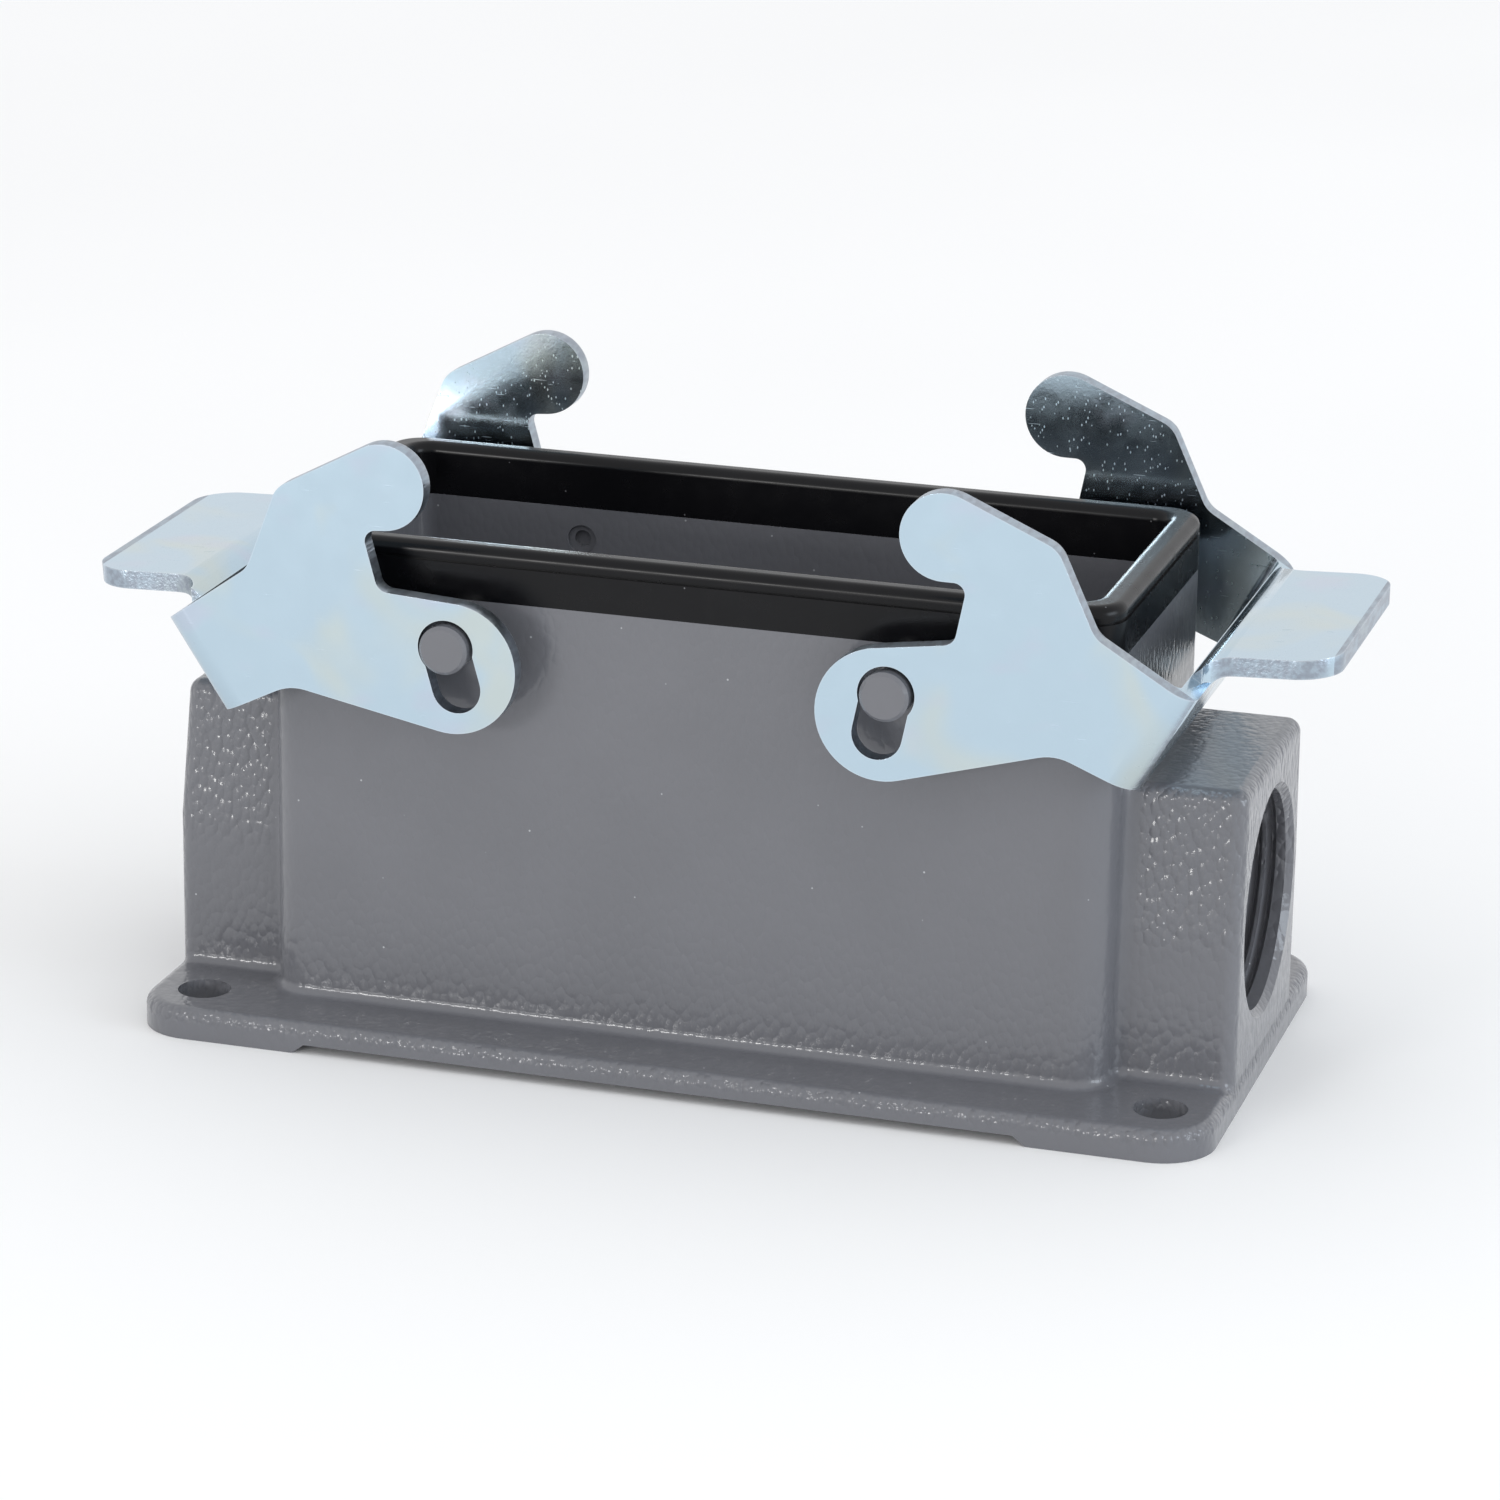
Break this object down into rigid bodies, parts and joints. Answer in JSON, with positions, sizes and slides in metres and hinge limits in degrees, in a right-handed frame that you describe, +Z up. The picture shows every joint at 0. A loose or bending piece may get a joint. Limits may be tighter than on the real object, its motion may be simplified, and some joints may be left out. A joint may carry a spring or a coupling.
{
  "type": "surface-mount connector housing",
  "caption": "Surface-mount base housing for a rectangular industrial connector, with a rim seal, a threaded side cable entry and U-shaped locking levers that hook over the mating hood.",
  "frame": {"origin": "centre of the mounting plane, between the four flange holes", "axes": "+X towards the threaded cable entry, -Y the front, +Z up out of the opening"},
  "size_m": [0.1347, 0.058, 0.0671],
  "materials": {
    "powder_coat": "hammered mid-grey powder coat on die-cast aluminium",
    "seal_rubber": "satin black",
    "zinc_plate": "bright zinc plate",
    "coated_pin": "grey coat"
  },
  "bodies": {
    "base": {"housing": "powder_coat", "rim_gasket": "seal_rubber"},
    "pins_left": {"pin_left_front": "coated_pin", "pin_left_rear": "coated_pin"},
    "pins_right": {"pin_right_front": "coated_pin", "pin_right_rear": "coated_pin"},
    "left_lever": {"lever_left": "zinc_plate"},
    "right_lever": {"lever_right": "zinc_plate"}
  },
  "joints": [
    {"name": "left_lever_turn", "type": "hinge", "parent": "base", "child": "pins_left", "pos_m": [-0.0235, 0, 0.04565], "axis": [0, 1, 0], "range_deg": [-1.5, 33.25]},
    {"name": "left_lever_lift", "type": "slide", "parent": "pins_left", "child": "left_lever", "axis": [-0.2723, 0, 0.9622], "range_m": [0, 0.00435]},
    {"name": "right_lever_turn", "type": "hinge", "parent": "base", "child": "pins_right", "pos_m": [0.0235, 0, 0.04565], "axis": [0, -1, 0], "range_deg": [-6, 28.75]},
    {"name": "right_lever_lift", "type": "slide", "parent": "pins_right", "child": "right_lever", "axis": [0.1959, 0, 0.9806], "range_m": [0, 0.00435]}
  ]
}
